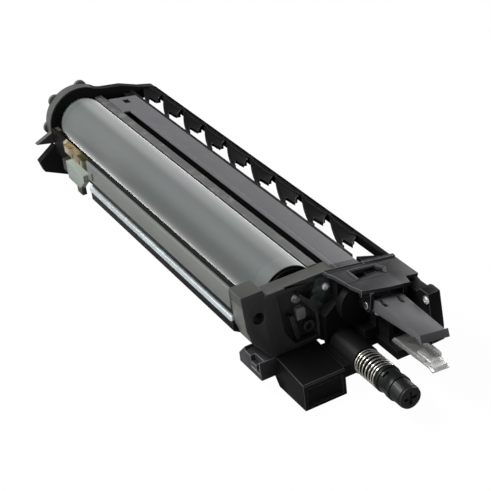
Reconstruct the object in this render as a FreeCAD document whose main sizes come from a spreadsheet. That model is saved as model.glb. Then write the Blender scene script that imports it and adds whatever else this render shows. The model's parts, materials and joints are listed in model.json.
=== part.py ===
import FreeCAD, Part
import math
import os

import Sketcher

# Printer drum unit, in millimetres.  All sub-parts are drawn in one frame: X runs along the drum
# towards the front end, Y to the guide rail, Z up, with the drum's front rim centred on zero.
# The whole unit is then carried to its own frame (middle of its base) by the origin cells.

os.makedirs("parts", exist_ok=True)
doc = FreeCAD.newDocument("drum_unit")
sheet = doc.addObject("Spreadsheet::Sheet", "Sizes")
Vec = FreeCAD.Vector

SIZES = {
    # place of the drum's front rim in the unit's own frame
    "origin_x": 131.2,
    "origin_y": -13.3,
    "origin_z": 57.5,
    # photoconductor drum and what turns with it
    "drum_radius": 20.0,
    "drum_length": 348.0,
    "drum_wall": 0.8,
    "shaft_radius": 4.0,
    "run_fit": 0.05,
    "flange_depth": 12.0,
    "gear_module": 1.0,
    "drum_teeth": 52.0,
    "auger_teeth": 34.0,
    "gear_width": 5.0,
    "hub_radius": 9.0,
    # charge roller
    "charge_angle": 60.0,
    "charge_radius": 6.0,
    "charge_core": 3.0,
    "charge_gap": 0.3,
    # trough, walls and covers
    "wall": 2.4,
    "floor_gap": 13.0,
    "left_wall_gap": 23.5,
    "left_wall_rise": 1.0,
    "panel_setback": 116.0,
    "panel_thick": 2.0,
    "rail_low": -6.3,
    "cover_tilt": 9.0,
    "cover_gap": 6.0,
    "cover_drop": 2.5,
    "cover_width": 20.2,
    "cover_thick": 2.0,
    "front_face": 16.0,
    "plate_thick": 11.0,
    "seam_x": 17.5,
    # guide rail
    "rail_offset": 41.0,
    "rail_width": 4.6,
    "fin_count": 9.0,
    # rear housing
    "ring_radius": 29.4,
    "rear_overlap": 3.0,
    "housing_depth": 11.0,
    # waste toner auger, pipe and shutter
    "auger_y": 23.7,
    "auger_radius": 5.6,
    "auger_shaft": 2.2,
    "auger_turns": 12.0,
    "trough_radius": 6.8,
    "pipe_radius": 7.2,
    "pipe_wall": 0.9,
    "pipe_end": 98.0,
    "spring_start": 52.0,
    "spring_length": 24.0,
    "spring_wire": 0.7,
    "spring_turns": 9.0,
    "sleeve_radius": 8.6,
    "sleeve_end": 103.0,
    # front box that the unit stands on
    "box_front": 50.0,
    "box_left": -23.0,
    "box_width": 32.0,
    # grip lever and latch tongue
    "lever_drop": 8.0,
    "lever_reach": 104.0,
    "lever_width": 20.0,
    "lever_pivot": 50.0,
    "pin_radius": 1.6,
    "tongue_z": -31.0,
    "tongue_width": 16.0,
    "tongue_reach": 96.0,
    "screw_head": 3.0,
    "screw_length": 8.0,
}


class Size:
    """A number together with the sheet expression that it comes from."""

    def __init__(self, value, text):
        self.value = float(value)
        self.text = text

    def _with(self, other, sign, swap=False):
        other = size(other)
        a, b = (other, self) if swap else (self, other)
        value = {"+": a.value + b.value, "-": a.value - b.value, "*": a.value * b.value}.get(sign)
        if sign == "/":
            value = a.value / b.value
        return Size(value, "(%s %s %s)" % (a.text, sign, b.text))

    def __add__(self, other):
        return self._with(other, "+")

    def __radd__(self, other):
        return self._with(other, "+", True)

    def __sub__(self, other):
        return self._with(other, "-")

    def __rsub__(self, other):
        return self._with(other, "-", True)

    def __mul__(self, other):
        return self._with(other, "*")

    def __rmul__(self, other):
        return self._with(other, "*", True)

    def __truediv__(self, other):
        return self._with(other, "/")

    def __neg__(self):
        return Size(-self.value, "(0 - %s)" % self.text)

    def __float__(self):
        return self.value


def size(number):
    if isinstance(number, Size):
        return number
    return Size(number, "%.6f" % float(number))


def turned(kind, angle):
    """Sine, cosine or tangent of an angle in degrees."""
    value = {"sin": math.sin, "cos": math.cos, "tan": math.tan}[kind](math.radians(angle.value))
    return Size(value, "%s(%s * 1 deg)" % (kind, angle.text))


def root(number):
    return Size(math.sqrt(number.value), "sqrt(%s)" % number.text)


for row, (word, number) in enumerate(SIZES.items(), start=1):
    sheet.set("A%d" % row, word)
    sheet.set("B%d" % row, "%g" % number)
    sheet.setAlias("B%d" % row, word)
doc.recompute()


class Sheet:
    """Reads a driving dimension by its alias."""

    def __getattr__(self, word):
        return Size(sheet.get(word), "Sizes.%s" % word)


S = Sheet()
NORMAL = {"YZ": Vec(1, 0, 0), "XZ": Vec(0, -1, 0), "XY": Vec(0, 0, 1)}


def bind(thing, path, number):
    thing.setExpression(path, size(number).text)


def place(thing, x=0, y=0, z=0, tilted=False):
    """Carries a sub-part from the drawing frame to the unit's own frame."""
    if tilted:
        y, z = cover_y + y, cover_z + z
        lean = FreeCAD.Rotation(Vec(-1, 0, 0), float(S.cover_tilt))
        thing.Placement = FreeCAD.Placement(Vec(0, 0, 0), lean)
        bind(thing, "Placement.Rotation.Angle", S.cover_tilt)
    bind(thing, "Placement.Base.x", S.origin_x + x)
    bind(thing, "Placement.Base.y", S.origin_y + y)
    bind(thing, "Placement.Base.z", S.origin_z + z)


PIECES = []


def new_body(label, tilted=False):
    body = doc.addObject("PartDesign::Body", label)
    body.Label = label
    place(body, tilted=tilted)
    return body


def origin_plane(body, plane):
    return [f for f in body.Origin.OriginFeatures if f.Role == plane + "_Plane"][0]


def new_sketch(body, plane, at):
    sketch = body.newObject("Sketcher::SketchObject", "Sketch")
    sketch.AttachmentSupport = [(origin_plane(body, plane), "")]
    sketch.MapMode = "FlatFace"
    at = size(at)
    bind(sketch, "AttachmentOffset.Base.z", -at if plane == "XZ" else at)
    return sketch


def fix_point(sketch, item, end, across, up):
    """Ties one end of a sketch line to the sheet by its two coordinates."""
    for kind, number, axis in (("DistanceX", size(across), -2), ("DistanceY", size(up), -1)):
        if abs(number.value) < 1e-9 and number.text.lstrip("-").startswith("0.0"):
            sketch.addConstraint(Sketcher.Constraint("PointOnObject", item, end, axis))
        else:
            n = sketch.addConstraint(Sketcher.Constraint(kind, -1, 1, item, end, number.value))
            bind(sketch, "Constraints[%d]" % n, number)


def arc_between(a, b, radius):
    """Arc from a to b; a positive radius bulges to the right of the way from a to b."""
    half = (b - a) * 0.5
    left = Vec(-half.y, half.x, 0).normalize()
    rise = math.sqrt(max(radius ** 2 - half.Length ** 2, 0.0))
    centre = (a + b) * 0.5 + left * math.copysign(rise, radius)
    start, end = (a, b) if radius > 0 else (b, a)
    angles = [math.atan2(p.y - centre.y, p.x - centre.x) for p in (start, end)]
    return Part.ArcOfCircle(Part.Circle(centre, Vec(0, 0, 1), abs(radius)), angles[0], angles[1])


def outline(sketch, points):
    """Closed outline.  A point is (across, up) or (across, up, radius of the arc that leads to it)."""
    first = sketch.GeometryCount
    flat = [Vec(float(size(p[0])), float(size(p[1])), 0) for p in points]
    count = len(points)
    for i in range(count):
        a, b, target = flat[i], flat[(i + 1) % count], points[(i + 1) % count]
        if len(target) == 3:
            sketch.addGeometry(arc_between(a, b, float(target[2])), False)
        else:
            sketch.addGeometry(Part.LineSegment(a, b), False)
    ends = []
    for i in range(count):
        target = points[(i + 1) % count]
        backward = len(target) == 3 and float(target[2]) < 0
        ends.append((2, 1) if backward else (1, 2))
    for i in range(count):
        j = (i + 1) % count
        sketch.addConstraint(Sketcher.Constraint("Coincident", first + i, ends[i][1], first + j, ends[j][0]))
    for i in range(count):
        fix_point(sketch, first + i, ends[i][0], points[i][0], points[i][1])
        target = points[(i + 1) % count]
        if len(target) == 3:
            radius, chord = size(target[2]), flat[(i + 1) % count] - flat[i]
            if abs(chord.Length - 2 * abs(radius.value)) < 1e-6:
                level, kind = size(target[1]), "DistanceY"
                if abs(chord.x) < abs(chord.y):
                    level, kind = size(target[0]), "DistanceX"
                n = sketch.addConstraint(Sketcher.Constraint(kind, -1, 1, first + i, 3, level.value))
                bind(sketch, "Constraints[%d]" % n, level)
            else:
                n = sketch.addConstraint(Sketcher.Constraint("Radius", first + i, abs(radius.value)))
                bind(sketch, "Constraints[%d]" % n, radius if radius.value > 0 else -radius)


def ring(sketch, across, up, radius):
    centre = Vec(float(size(across)), float(size(up)), 0)
    item = sketch.addGeometry(Part.Circle(centre, Vec(0, 0, 1), float(size(radius))), False)
    fix_point(sketch, item, 3, across, up)
    n = sketch.addConstraint(Sketcher.Constraint("Radius", item, float(size(radius))))
    bind(sketch, "Constraints[%d]" % n, radius)


def block(a0, a1, b0, b1):
    return [(a0, b0), (a1, b0), (a1, b1), (a0, b1)]


def feature(kind, body, plane, start, stop, outlines=(), rings=(), name=None):
    """Pad or Pocket of a sketch, from one height to another along the plane's own axis."""
    start, stop = size(start), size(stop)
    sketch = new_sketch(body, plane, start)
    for points in outlines:
        outline(sketch, points)
    for across, up, radius in rings:
        ring(sketch, across, up, radius)
    item = body.newObject("PartDesign::" + kind, name or kind)
    item.Profile = sketch
    bind(item, "Length", stop - start)
    along = plane != "XZ"
    item.Reversed = along if kind == "Pocket" else not along
    return item


def pad(body, plane, start, stop, outlines=(), rings=()):
    return feature("Pad", body, plane, start, stop, outlines, rings)


def pocket(body, plane, start, stop, outlines=(), rings=()):
    return feature("Pocket", body, plane, start, stop, outlines, rings)


def row_of(body, item, count, length, axis="X"):
    """Repeats a feature in a straight row along one of the body's axes."""
    pattern = body.newObject("PartDesign::LinearPattern", "Row")
    pattern.Originals = [item]
    line = [f for f in body.Origin.OriginFeatures if f.Role == axis + "_Axis"][0]
    pattern.Direction = (line, [""])
    bind(pattern, "Length", length)
    bind(pattern, "Occurrences", count)
    body.Tip = pattern
    return pattern


def round_edges(body, item, radius, choose, kind="Fillet"):
    """Fillet or Chamfer on the edges that the chooser accepts."""
    doc.recompute()
    names = ["Edge%d" % (i + 1) for i, e in enumerate(item.Shape.Edges) if choose(e)]
    soft = body.newObject("PartDesign::" + kind, kind)
    soft.Base = (item, names)
    bind(soft, "Radius" if kind == "Fillet" else "Size", radius)
    return soft


X_AXIS, Y_AXIS = Vec(1, 0, 0), Vec(0, 1, 0)

# sizes that follow from the driving ones
centre_distance = (S.drum_teeth + S.auger_teeth) * S.gear_module / 2
AY = S.auger_y
AZ = -root(centre_distance * centre_distance - AY * AY)
drum_rear = -S.drum_length
rear_face = drum_rear + S.rear_overlap
panel_start = drum_rear + S.panel_setback
floor_z = -(S.drum_radius + S.floor_gap)
base_z = -S.origin_z
side_y = -(S.drum_radius + 9.0)
left_y = -(S.drum_radius + S.left_wall_gap)
left_top = S.drum_radius + S.left_wall_rise
cover_y = S.drum_radius + S.cover_gap
cover_z = S.drum_radius - S.cover_drop
cheek_y = cover_y + 36.0
gear_back = rear_face - S.housing_depth + 1.0
housing_back = rear_face - S.housing_depth
plate_back = S.front_face - S.plate_thick
wall_y = left_y + S.panel_thick
charge_reach = S.drum_radius + S.charge_gap + S.charge_radius
CY = -charge_reach * turned("cos", S.charge_angle)
CZ = -charge_reach * turned("sin", S.charge_angle)
slope = turned("tan", S.cover_tilt)
trough_out = S.trough_radius + S.wall

# places of the screws' seats
TAB_SCREW = (cover_y - 7.5, 6.4)
HOUSING_SCREWS = [(46.0, cover_y + 13.5, -7.0), (38.0, cover_y + 26.0, -3.0)]
CHEEK_SCREWS = [(69.0, cover_z - 13.1), (66.0, -18.0)]


def cover_height(y):
    """Height of the tilted top at a distance y across the unit."""
    return cover_z - (size(y) - cover_y) * slope


def main_frame():
    """Trough with the waste toner channel, the left wall and the flange that holds the cover."""
    body = new_body("main_frame")
    f, w, r, below = floor_z, S.wall, S.drum_radius, S.cover_thick + 0.1
    right = cover_y + 14.4
    inner, outer = cover_y + 20.1, cover_y + 22.0
    pad(body, "YZ", rear_face, plate_back, [[
        (side_y, 2.0), (side_y, -r), (side_y + 11, f), (AY - trough_out - 1, f), (AY - trough_out, AZ),
        (AY + trough_out, AZ, trough_out), (AY + trough_out, -16.0), (right + w, -8.0),
        (right + w, cover_height(right + w) - below - 2.2), (outer, cover_height(outer) - below - 2.2),
        (outer, cover_height(outer) - 0.3), (inner, cover_height(inner) - 0.3),
        (inner, cover_height(inner) - below), (right, cover_height(right) - below), (right, -7.0),
        (AY + S.trough_radius, -14.6),
        (AY + S.trough_radius, AZ), (AY - S.trough_radius, AZ, -S.trough_radius),
        (AY - S.trough_radius, f + w), (side_y + 12, f + w), (side_y + w, 0.8 - r), (side_y + w, 2.0)]])
    pocket(body, "YZ", -1.0, plate_back, [block(side_y - 1, side_y + w + 1, -5.0, 3.0)])
    wall = pad(body, "YZ", panel_start, 0.0, [[
        (left_y, S.rail_low - 6.2), (side_y + 1, -r - 2), (side_y + 1, 2 - r), (wall_y + w, -8.6),
        (wall_y + w, left_top), (wall_y, left_top), (wall_y, S.rail_low),
        (left_y, S.rail_low)]])
    rib = pad(body, "YZ", panel_start + 6, panel_start + 8, [[
        (wall_y + 1, -9.0), (side_y + 1, -r), (side_y + 1, 1.0), (wall_y + 1, 12.0)]])
    row_of(body, rib, 6.0, -panel_start - 18)
    bars = pad(body, "YZ", rear_face + 40, rear_face + 42, [[
        (AY + trough_out - 1, -24.0), (right + 0.6, -8.0), (right + 1, -7.0), (right + w, -12.0),
        (AY + trough_out + 1, -30.0)]])
    row_of(body, bars, 7.0, plate_back - rear_face - 80)


def left_side_cover():
    body = new_body("left_side_cover")
    y, z = left_y, left_top
    pad(body, "YZ", panel_start, 0.0, [[
        (y, 5.0), (wall_y, 5.0), (wall_y, z - 0.4), (y + 0.8, z - 0.4), (y, z - 1.2)]])
    pad(body, "XZ", left_y - 1.0, left_y, [block(panel_start + 4, panel_start + 10, 8.0, 14.0)])


def side_rail():
    """Bright strip in the groove above the lip of the left wall, with a rounded front end."""
    body = new_body("side_rail")
    low, high = S.rail_low + 0.1, S.rail_low + 4.6
    pad(body, "XZ", left_y, wall_y, [[
        (panel_start - 2, low), (-3.0, low), (-3.0, high, 2.25), (panel_start - 2, high)]])


def top_cover():
    body = new_body("top_cover", tilted=True)
    t, w = S.cover_thick, S.cover_width
    start = rear_face + 14
    top = [(w, -0.8), (w - 0.8, 0.0), (4.0, 0.0), (3.4, -0.5), (2.8, 0.0), (0.0, 0.0)]
    pad(body, "YZ", start, plate_back, [[
        (0.0, -t), (7.0, -t), (7.0, -12.0), (8.8, -12.0), (8.8, -t), (w, -t), *top]])
    pad(body, "YZ", plate_back, S.seam_x, [[
        (0.0, -12.0), (1.8, -12.0), (1.8, -t), (w - 1.8, -t), (w - 1.8, -7.0), (w, -7.0), *top]])
    pad(body, "XY", -t, 0.0, [block(start, start + 32, -5.8, 0.0)])
    rib = pad(body, "YZ", start + 20, start + 21.6, [[
        (8.8, -9.0), (13.0, -t), (8.8, -t)]])
    row_of(body, rib, 12.0, S.seam_x - start - 42.5)
    pocket(body, "XY", -t, 0.0, [block(start + 6, start + 14, 4.0, 10.0)])


def guide_rail():
    """Outer rail with curved guide fins that reach back to the edge of the top cover."""
    body = new_body("guide_rail", tilted=True)
    near, rail = S.cover_width, S.rail_offset
    lip = near + 2.9
    edge = rail + S.rail_width
    x0 = rear_face - 10
    run = S.seam_x - rear_face - 56.9
    pad(body, "YZ", rear_face, S.seam_x, [[
        (rail, -6.0), (edge - 1, -6.0), (edge, -5.0), (edge, -1.0), (edge - 1, 0.0), (rail, 0.0)]])
    fin = pad(body, "XY", -3.4, -0.6, [[
        (x0 + 37.6, lip, 220.0), (x0 + 40.6, lip), (x0 + 31, near + 9.4), (x0 + 42, near + 10.6),
        (x0 + 30.5, rail + 0.5, -40.0), (x0 - 5, rail + 0.5)]])
    row_of(body, fin, S.fin_count, run)
    foot = pad(body, "XY", -7.0, -0.6, [block(x0 + 36.4, x0 + 40.6, lip, lip + 1.6)])
    row_of(body, foot, S.fin_count, run)
    ridge = pad(body, "XY", -0.6, 0.0, [[
        (x0 + 3, rail - 1.4), (x0 + 26, rail - 1.4), (x0 + 29, rail + 0.5), (x0 + 1, rail + 0.5)]])
    row_of(body, ridge, S.fin_count, run)
    lump = pad(body, "XY", -9.0, -3.4, [[
        (x0 + 12, rail - 4.5), (x0 + 26, rail - 4.5), (x0 + 28, rail - 2.5), (x0 + 28, rail + 0.5),
        (x0 + 8, rail + 0.5)]])
    row_of(body, lump, S.fin_count, run)
    slot = pocket(body, "XY", -2.4, 0.0, [block(x0 - 4, x0 + 25, rail + 1.0, edge - 1.2)])
    row_of(body, slot, S.fin_count, run)
    pad(body, "XY", -7.0, -0.6, [[
        (S.seam_x - 9, lip), (S.seam_x, lip), (S.seam_x, rail + 0.5), (S.seam_x - 3, rail + 0.5, -24.0)]])
    pocket(body, "YZ", x0 - 10, rear_face, [block(near, edge + 10, -12.0, 5.0)])


def front_plate():
    """Front end plate: locating hole at the left, sunk field with ribs in the middle."""
    body = new_body("front_plate")
    back, face, high = plate_back, S.front_face, S.drum_radius - 3.0
    left = [(left_y + 16.1, left_top), (left_y, left_top), (left_y + 1.6, -5.0), (left_y + 4.5, -15.6)]
    pad(body, "YZ", back, face, [[
        *left, (side_y + 4, floor_z), (cover_y - 14, floor_z), (cover_y - 14, -12.0),
        (cover_y - 4, -4.0), (cover_y, -4.0), (cover_y, 5.2), (cover_y - 2, 5.2),
        (cover_y - 0.2, cover_z - 0.6), (cover_y - 13.3, high - 0.1), (side_y + 3.3, high)]])
    pad(body, "YZ", 0.0, back, [[*left, (side_y - 2, -25.0), (side_y - 2, 15.0)]])
    pocket(body, "YZ", 0.0, back, rings=[(side_y - 3, 1.0, 5.6)])
    pocket(body, "YZ", back, face, rings=[(side_y - 3, 1.0, 4.4)])
    pocket(body, "YZ", face - 6.5, face, [[
        (-18.0, 12.4), (-16.4, 0.0), (-14.5, -17.5), (-7.5, -29.5), (11.0, -29.5), (11.0, -13.0),
        (4.0, -3.0), (11.5, 5.0), (11.5, 12.4)]])
    pad(body, "YZ", face - 6.5, face - 1.0, [[
        (-9.5, -8.0), (-6.5, -8.0), (-2.5, -27.0), (-5.5, -27.0)]])
    pad(body, "YZ", face - 6.5, face - 2.0, rings=[(5.5, -21.5, 4.2)])
    pocket(body, "YZ", face - 5.5, face - 2.0, rings=[(5.5, -21.5, 2.6)])
    pad(body, "YZ", face, face + 1.2, [[
        (-26.0, high - 2.4), (-12.0, high - 2.4), (-12.0, high - 0.1), (-26.0, high - 0.1)]])
    pad(body, "YZ", face - 6.5, face, [[(-2.0, 5.2), (9.0, -6.2), (10.6, -4.8), (-0.4, 6.8)]])
    pocket(body, "YZ", back, back + 4.5, rings=[(0.0, 0.0, S.shaft_radius)])
    pocket(body, "YZ", face - 7, face, rings=[(*TAB_SCREW, S.screw_head / 2)])


def front_housing():
    """Black housing right of the front plate, with the round boss and the outlet collar."""
    body = new_body("front_housing")
    back, deep, under = S.seam_x, S.seam_x + 20.5, S.cover_thick + 0.7
    c, low = cover_y, floor_z - 5
    corner = (c + 40, cover_height(c + 40) - under)
    pad(body, "YZ", back, back + 6.5, [[
        (c - 14, floor_z), (c - 14, -12.0), (c - 3.6, -4.0), (c - 3, cover_height(c - 3) - under),
        corner, (c + 40, low), (c + 14, low), (c + 11, floor_z)]])
    pad(body, "YZ", back, deep, [[
        (c + 7, low), (c + 40, low), corner, (c + 16, cover_height(c + 16) - under), (c + 16, -24.0),
        (c + 7, -24.0)]])
    pad(body, "YZ", back, S.box_front - 2, [block(
        S.box_left + S.box_width + 0.1, AY, floor_z - 13, floor_z - 3.6)])
    pad(body, "YZ", plate_back, back, [[
        (c - 14, floor_z), (c - 14, -12.0), (c - 4, -4.0), (c, -4.0), (c + 2, 4.0), (c + 20, 4.0),
        (c + 26, 0.0), (c + 26, floor_z)]])
    pad(body, "YZ", back, back + 12.5, rings=[(c + 10.2, -8.0, 15.2)])
    pad(body, "YZ", back, S.spring_start, rings=[(AY, AZ, S.sleeve_radius + 1.6)])
    pad(body, "YZ", back, HOUSING_SCREWS[0][0], rings=[(*HOUSING_SCREWS[0][1:], S.screw_head + 1.6)])
    pad(body, "YZ", back, deep + 24, [block(c + 16, c + 38, S.tongue_z - 7, S.tongue_z)])
    pad(body, "YZ", back, deep + 12, [block(c + 18, c + 36, S.tongue_z, -8.0)])
    pocket(body, "YZ", deep + 8, deep + 12, [block(c + 22, c + 32, S.tongue_z + 4, -12.0)])
    pocket(body, "YZ", plate_back, S.spring_start, rings=[(AY, AZ, S.pipe_radius)])
    for face, y, z in HOUSING_SCREWS:
        pocket(body, "YZ", face - S.screw_length, face, rings=[(y, z, S.screw_head / 2)])


def front_deck():
    """Grey tilted deck over the front housing, with its pocket and step."""
    body = new_body("front_deck", tilted=True)
    pad(body, "XY", -2.6, 0.0, [[
        (S.seam_x, -9.0), (22.0, -9.0), (27.0, -6.6), (38.0, -4.8), (43.0, -4.2), (52.0, -1.2),
        (55.0, 18.6), (55.0, 34.0), (47.0, 36.0), (47.0, 46.0), (S.seam_x, 46.0)]])
    pad(body, "XY", -5.0, -2.6, [[
        (49.0, -1.0), (52.0, -1.2), (55.0, 18.6), (52.6, 18.6)]])
    pocket(body, "XY", -2.6, 0.0, [[
        (26.0, 6.4), (26.0, 26.0), (31.0, 29.2), (36.4, 26.6), (33.0, 22.0), (37.0, 6.4)]])
    lug = [(S.lever_pivot - 4, -2.6), (S.lever_pivot - 4, -14.0), (S.lever_pivot - 2, -17.0),
           (S.lever_pivot + 2, -17.0), (S.lever_pivot + 4, -14.0), (S.lever_pivot + 4, -2.6)]
    inner, outer = lever_left() - 0.4, lever_left() + S.lever_width + 2.4
    pad(body, "XZ", inner - 2.4, inner, [lug])
    pad(body, "XZ", outer, outer + 2.4, [lug])
    pocket(body, "XZ", inner - 3, outer + 3, rings=[(S.lever_pivot, -S.lever_drop - 5, S.pin_radius)])
    pad(body, "XY", 0.0, 1.0, [block(S.seam_x, 20.5, 21.0, 46.0)])


def right_cheek():
    """Outer wall of the front end beside the lever, with the stepped upper edge."""
    body = new_body("right_cheek")
    z = cover_z - 7.5
    pad(body, "XZ", cheek_y + 4, cheek_y + 9.4, [[
        (S.seam_x + 11, z - 3), (47.0, z - 3), (50.0, z - 4), (58.0, z - 4), (61.0, z - 1), (64.0, z - 0.4),
        (71.0, z - 0.8), (74.0, -15.0), (74.0, -27.0), (66.0, -34.0), (S.seam_x + 11, -34.0)]])
    pad(body, "XZ", cheek_y, cheek_y + 4, [[
        (47.0, z - 3), (50.0, z - 4), (58.0, z - 4), (61.0, z - 1), (64.0, z - 0.4), (71.0, z - 0.8),
        (74.0, -15.0), (74.0, -27.0), (58.0, -27.0), (58.0, -10.0), (47.0, -10.0)]])
    for x, z in CHEEK_SCREWS:
        pocket(body, "XZ", cheek_y, cheek_y + S.screw_length, rings=[(x, z, S.screw_head / 2)])


def lever_left():
    return size(7.6)


def front_box():
    """Box at the lower front with a slanted back and a shallow sunk face."""
    body = new_body("front_box")
    y0, y1 = S.box_left, S.box_left + S.box_width
    front, low = S.box_front, base_z
    pad(body, "XZ", y0, y1, [[
        (S.front_face, floor_z - 0.4), (front - 1, floor_z - 4.4), (front, floor_z - 5.4), (front, low),
        (S.front_face, low),
        (S.front_face - 9, floor_z - 13), (S.front_face - 9, floor_z)]])
    pocket(body, "YZ", front - 1.6, front, [block(y0 + 2.6, y1 - 2.6, low + 2.4, floor_z - 8.6)])
    pocket(body, "XZ", y0 + 2.4, y1 - 2.4, [[
        (14.0, low - 1), (front - 4.2, low - 1), (front - 4.2, floor_z - 7.6), (14.0, floor_z - 4.6)]])


def corner_foot():
    """Small hanging block at the lower left corner with a square sunk place."""
    body = new_body("corner_foot")
    y, z = S.box_left - 13, floor_z
    pad(body, "XZ", y, S.box_left, [[
        (-12.8, z - 6.5), (-3.0, z + 3.5), (-3.0, z), (16.0, z), (17.0, z - 13.6), (-12.8, z - 13.6)]])
    pocket(body, "XZ", y, y + 4, [block(4.0, 15.0, z - 9, z)])
    pad(body, "XZ", y + 0.5, y + 3, [block(4.0, 10.0, z - 11, z - 5)])


def rear_housing():
    """Rear end housing: ring round the drum end, gear space, and an arm to the guide rail."""
    body = new_body("rear_housing")
    back, face = housing_back, rear_face
    c, ring = cover_y, S.ring_radius
    arm = cover_height(c + 44)
    pad(body, "YZ", back, face, rings=[(0.0, 0.0, S.ring_radius)])
    pad(body, "YZ", back, face, rings=[(AY, AZ, pitch_radius(S.auger_teeth) + 4)])
    pad(body, "YZ", back, face, [block(0.0, 26.0, -30.0, 12.0)])
    pad(body, "YZ", face - 7, face, [[
        (5.0, 28.9), (21.0, 23.2), (c + 13.6, 20.2), (c + 30, 14.0), (c + 42.6, arm + 0.4),
        (c + 44.4, arm - 1), (c + 44.4, 4.0), (c + 22, 2.0), (c + 20, -20.0), (0.0, -20.0)]])
    pocket(body, "YZ", back, face - 2.5, rings=[(0.0, 0.0, pitch_radius(S.drum_teeth) + 1.6)])
    pocket(body, "YZ", back, face - 2.5, rings=[(AY, AZ, pitch_radius(S.auger_teeth) + 1.6)])
    pocket(body, "YZ", back, face, rings=[(0.0, 0.0, S.drum_radius + 0.6)])
    pocket(body, "YZ", back, face, rings=[(AY, AZ, S.auger_shaft + S.run_fit)])
    pad(body, "YZ", face - 7, face, [[
        (0.1 - ring, -14.0), (-ring - 15.6, -25.0), (-ring - 12.6, -35.0), (6.4 - ring, -44.0), (-9.0, -44.0),
        (-9.0, -28.0), (9.4 - ring, -21.0)]])
    pad(body, "YZ", face - 7, face - 2, [[(2.4 - ring, -2.0), (-ring - 14.6, -9.5), (2.4 - ring, -13.0)]])


def rear_plate():
    """Grey lobed cover behind the rear housing, with the running bore for the drum's hub."""
    body = new_body("rear_plate")
    back, face = housing_back - 3.0, housing_back
    pad(body, "YZ", back, face, rings=[(0.0, 0.0, S.ring_radius - 0.8)])
    pad(body, "YZ", back, face, rings=[(AY, AZ, pitch_radius(S.auger_teeth) + 3.4)])
    for lobe in (184.0, 132.0, 76.0):
        angle = size(lobe)
        reach = S.ring_radius - 3
        pad(body, "YZ", back, face, rings=[(reach * turned("cos", angle), reach * turned("sin", angle), 5.6)])
    pad(body, "YZ", back, face, [[(0.0, 26.0), (20.0, 20.0), (30.0, -14.0), (0.0, -28.0)]])
    pocket(body, "YZ", back, face, rings=[(0.0, 0.0, S.hub_radius + S.run_fit)])
    pocket(body, "YZ", back, face, rings=[(AY, AZ, S.auger_shaft + S.run_fit)])


def pitch_radius(teeth):
    return teeth * S.gear_module / 2


def drum_tube():
    body = new_body("drum_tube")
    inner = S.drum_radius - S.drum_wall
    pad(body, "YZ", drum_rear, 0.0, rings=[(0.0, 0.0, S.drum_radius), (0.0, 0.0, inner)])


def drum_front_flange():
    body = new_body("drum_front_flange")
    inner = S.drum_radius - S.drum_wall
    pad(body, "YZ", -S.flange_depth, 0.0, rings=[(0.0, 0.0, inner)])
    pad(body, "YZ", 0.0, 1.6, rings=[(0.0, 0.0, inner - 1.2)])
    pocket(body, "YZ", -2.0, 1.6, rings=[(0.0, 0.0, inner - 3.0), (0.0, 0.0, 10.0)])
    pocket(body, "YZ", -S.flange_depth, 1.6, rings=[(0.0, 0.0, S.shaft_radius + 2.6)])


def front_bushing():
    body = new_body("front_bushing")
    pad(body, "YZ", -S.flange_depth, 2.4, rings=[
        (0.0, 0.0, S.shaft_radius + 2.6), (0.0, 0.0, S.shaft_radius + S.run_fit)])


def drum_shaft():
    body = new_body("drum_shaft")
    shaft = pad(body, "YZ", drum_rear - 2, plate_back + 4.5, rings=[(0.0, 0.0, S.shaft_radius)])
    round_edges(body, shaft, 0.5, lambda e: e.Curve.TypeId == "Part::GeomCircle", "Chamfer")


def gear_outline(teeth, module, turn, slack=0.06):
    """Points of an involute gear's section, three to a flank."""
    pitch = teeth * module / 2
    base = pitch * math.cos(math.radians(20))
    tip, low = pitch + module, pitch - 1.25 * module
    half = math.pi / (2 * teeth) - slack / (2 * pitch)
    involute = math.tan(math.radians(20)) - math.radians(20)

    def flank(radius):
        slant = math.acos(min(1.0, base / radius))
        return half + involute - (math.tan(slant) - slant)

    radii = (low, pitch, tip)
    points = []
    for tooth in range(int(round(teeth))):
        middle = turn + 2 * math.pi * tooth / teeth
        for radius in radii:
            points.append((radius, middle - flank(radius)))
        for radius in reversed(radii):
            points.append((radius, middle + flank(radius)))
    return [Vec(0, r * math.cos(a), r * math.sin(a)) for r, a in points]


def gear_solid(teeth, turn):
    points = gear_outline(float(teeth), float(S.gear_module), turn)
    face = Part.Face(Part.makePolygon(points + points[:1]))
    return face.extrude(Vec(float(S.gear_width), 0, 0))


def rod(x0, x1, radius, y=0.0, z=0.0):
    start, stop = float(size(x0)), float(size(x1))
    end = Vec(start, float(size(y)), float(size(z)))
    return Part.makeCylinder(float(size(radius)), stop - start, end, X_AXIS)


def coded(label, shape, tilted=False):
    item = doc.addObject("Part::Feature", label)
    item.Label = label
    item.Shape = shape
    place(item, tilted=tilted)
    PIECES.append(item)
    return item


def drum_gear():
    """Rear flange of the drum with the drive gear and a three-jaw coupling, in one moulding."""
    line = math.atan2(float(AZ), float(AY))
    teeth = gear_solid(S.drum_teeth, line)
    teeth.translate(Vec(float(gear_back), 0, 0))
    rear = float(drum_rear)
    solid = teeth.fuse(rod(gear_back + S.gear_width, drum_rear, S.drum_radius - 0.2))
    solid = solid.fuse(rod(drum_rear, drum_rear + S.flange_depth, S.drum_radius - S.drum_wall))
    solid = solid.fuse(rod(housing_back - 13, gear_back, S.hub_radius))
    solid = solid.cut(rod(drum_rear - 3, drum_rear + S.flange_depth, S.shaft_radius + S.run_fit))
    solid = solid.cut(rod(housing_back - 13, housing_back - 5.5, S.hub_radius - 2.4))
    for jaw in range(3):
        notch = Part.makeBox(6.0, 20.0, 4.2, Vec(float(housing_back) - 13.0, 0, -2.1))
        notch.rotate(Vec(0, 0, 0), X_AXIS, 120.0 * jaw + 30.0)
        solid = solid.cut(notch)
    coded("drum_gear", solid.removeSplitter())


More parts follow.
